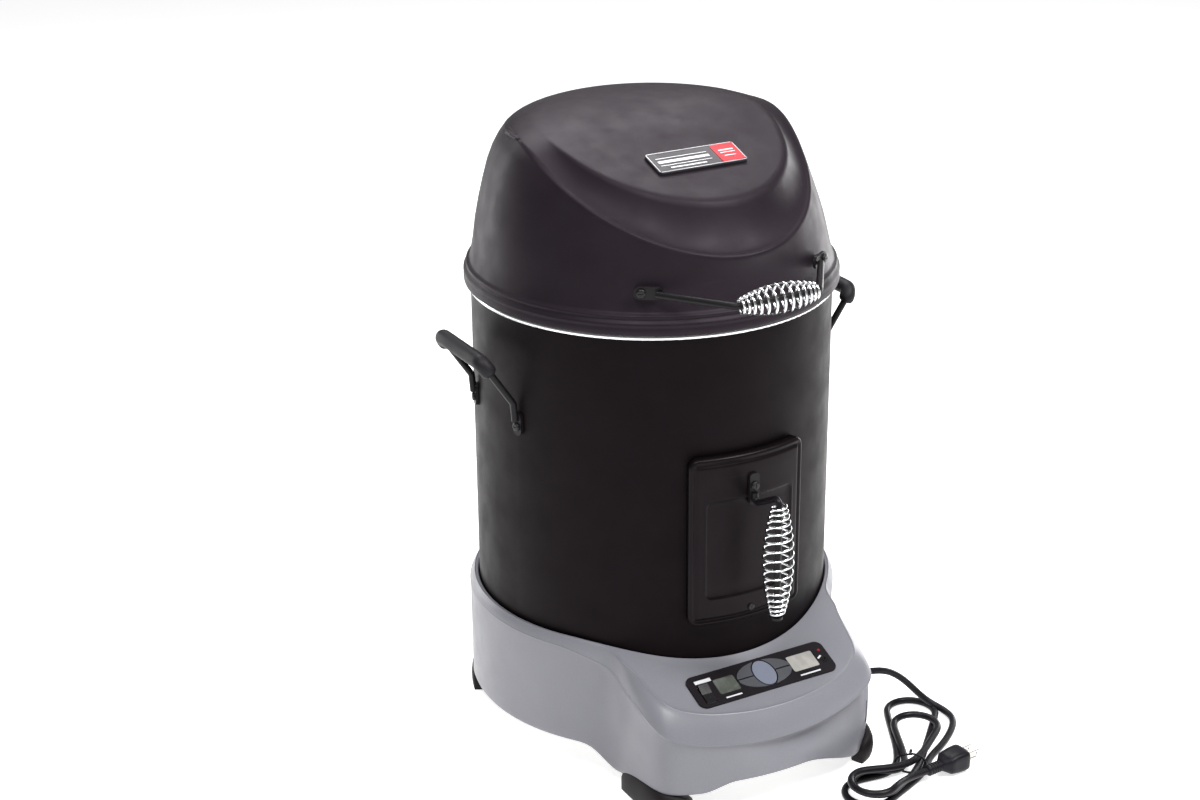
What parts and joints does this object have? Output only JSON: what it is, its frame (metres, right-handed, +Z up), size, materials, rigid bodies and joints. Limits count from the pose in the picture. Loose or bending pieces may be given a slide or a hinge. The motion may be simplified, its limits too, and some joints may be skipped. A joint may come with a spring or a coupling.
{
  "type": "electric smoker",
  "caption": "Round electric smoker: black steel barrel with hinged dome lid, pull-out wood chip drawer, side handles and a grey base with sloping control deck and tied power cord.",
  "frame": {"origin": "centre of the object's box without the free cord, on the surface it stands on", "axes": "+Z up, front (control deck and chip drawer) towards -Y, +X to the object's right seen from the front"},
  "size_m": [0.5108, 0.5763, 0.7145],
  "materials": {
    "black_enamel": "satin textured high-temperature paint",
    "lid_enamel": "matt textured high-temperature paint",
    "door_enamel": "satin textured paint",
    "base_silver": "silver-grey painted moulding, satin",
    "bright_steel": "polished stainless",
    "steel_sheet": "galvanised or stainless sheet",
    "wire_steel": "plated steel",
    "element_steel": "oxidised heating element sheath",
    "chrome": "bright chrome",
    "black_rod": "satin black paint",
    "grip_black": "moulded heat-proof grip",
    "rubber_foot": "black rubber",
    "bolt_black": "blackened steel",
    "bolt_zinc": "zinc plated",
    "gasket": "fibre rope seal",
    "badge_grey": "grey plate with bright edge",
    "badge_red": "red lacquer",
    "panel_black": "fine-grained black plastic",
    "display_olive": "unlit display",
    "display_beige": "unlit display",
    "button_blue": "soft light blue-grey",
    "button_grey": "soft grey",
    "switch_black": "gloss black",
    "led_red": "clear red",
    "board_green": "circuit board",
    "cord_black": "PVC sheath",
    "plug_black": "moulded PVC"
  },
  "bodies": {
    "base": {"base_shell": "base_silver", "base_bottom_plate": "steel_sheet", "bottom_plate_screws": "bolt_zinc", "foot_front_left": "rubber_foot", "foot_front_right": "rubber_foot", "foot_rear_left": "rubber_foot", "foot_rear_right": "rubber_foot", "side_handle_rod_left": "black_rod", "side_handle_rod_right": "black_rod", "side_handle_grip_left": "grip_black", "side_handle_grip_right": "grip_black", "side_handle_bolts": "bolt_black", "barrel_shell": "black_enamel", "cooking_chamber": "steel_sheet", "rim_ring": "bright_steel", "chamber_spacers": "steel_sheet", "heating_element": "element_steel", "element_clips": "steel_sheet", "terminal_block": "panel_black", "drip_tray": "steel_sheet", "food_basket": "wire_steel", "chamber_sensor": "bright_steel", "hinge_bracket": "bolt_black", "hinge_screws": "bolt_zinc", "hinge_pin": "bolt_zinc", "panel_bezel": "panel_black", "display_left": "display_olive", "display_right": "display_beige", "probe_jack": "switch_black", "status_led": "led_red", "control_board": "board_green", "power_relay": "switch_black", "strain_relief": "plug_black", "cord_lead": "cord_black", "cord_tail": "cord_black", "cord_hank": "cord_black", "cord_tie": "cord_black", "plug_body": "plug_black", "plug_blades": "bolt_zinc"},
    "lid": {"lid_shell": "lid_enamel", "lid_gasket": "gasket", "badge_plate": "badge_grey", "badge_accent": "badge_red", "hinge_lid_leaf": "bolt_black", "lid_handle_rod": "black_rod", "lid_handle_grip": "chrome", "lid_handle_bolts": "bolt_black"},
    "chip_drawer": {"door_panel": "door_enamel", "chip_box": "steel_sheet", "chip_box_bracket": "steel_sheet", "chip_box_lid": "steel_sheet", "door_handle_rod": "black_rod", "door_handle_grip": "chrome", "door_bolts": "bolt_black"},
    "button_centre": {"button_centre": "button_blue"},
    "button_lower_left": {"button_lower_left": "button_grey"},
    "button_upper_left": {"button_upper_left": "button_grey"},
    "button_lower_right": {"button_lower_right": "button_grey"},
    "button_upper_right": {"button_upper_right": "button_grey"},
    "power_rocker": {"power_rocker": "switch_black"}
  },
  "joints": [
    {"name": "lid_hinge", "type": "hinge", "parent": "base", "child": "lid", "pos_m": [0, 0.251, 0.5275], "axis": [-1, 0, 0], "range_deg": [0, 80]},
    {"name": "chip_drawer_slide", "type": "slide", "parent": "base", "child": "chip_drawer", "axis": [0, -1, 0], "range_m": [0, 0.12]},
    {"name": "power_rocker_tilt", "type": "hinge", "parent": "base", "child": "power_rocker", "pos_m": [-0.073, -0.20414, 0.12894], "axis": [-1, 0, 0], "range_deg": [0, 10]},
    {"name": "button_centre_press", "type": "slide", "parent": "base", "child": "button_centre", "axis": [0, 0.3714, -0.9285], "range_m": [0, 0.0015], "stiffness_N_per_m": 300, "springref_m": -0.002},
    {"name": "button_lower_left_press", "type": "slide", "parent": "base", "child": "button_lower_left", "axis": [0, 0.3714, -0.9285], "range_m": [0, 0.0015], "stiffness_N_per_m": 300, "springref_m": -0.002},
    {"name": "button_upper_left_press", "type": "slide", "parent": "base", "child": "button_upper_left", "axis": [0, 0.3714, -0.9285], "range_m": [0, 0.0015], "stiffness_N_per_m": 300, "springref_m": -0.002},
    {"name": "button_lower_right_press", "type": "slide", "parent": "base", "child": "button_lower_right", "axis": [0, 0.3714, -0.9285], "range_m": [0, 0.0015], "stiffness_N_per_m": 300, "springref_m": -0.002},
    {"name": "button_upper_right_press", "type": "slide", "parent": "base", "child": "button_upper_right", "axis": [0, 0.3714, -0.9285], "range_m": [0, 0.0015], "stiffness_N_per_m": 300, "springref_m": -0.002}
  ]
}
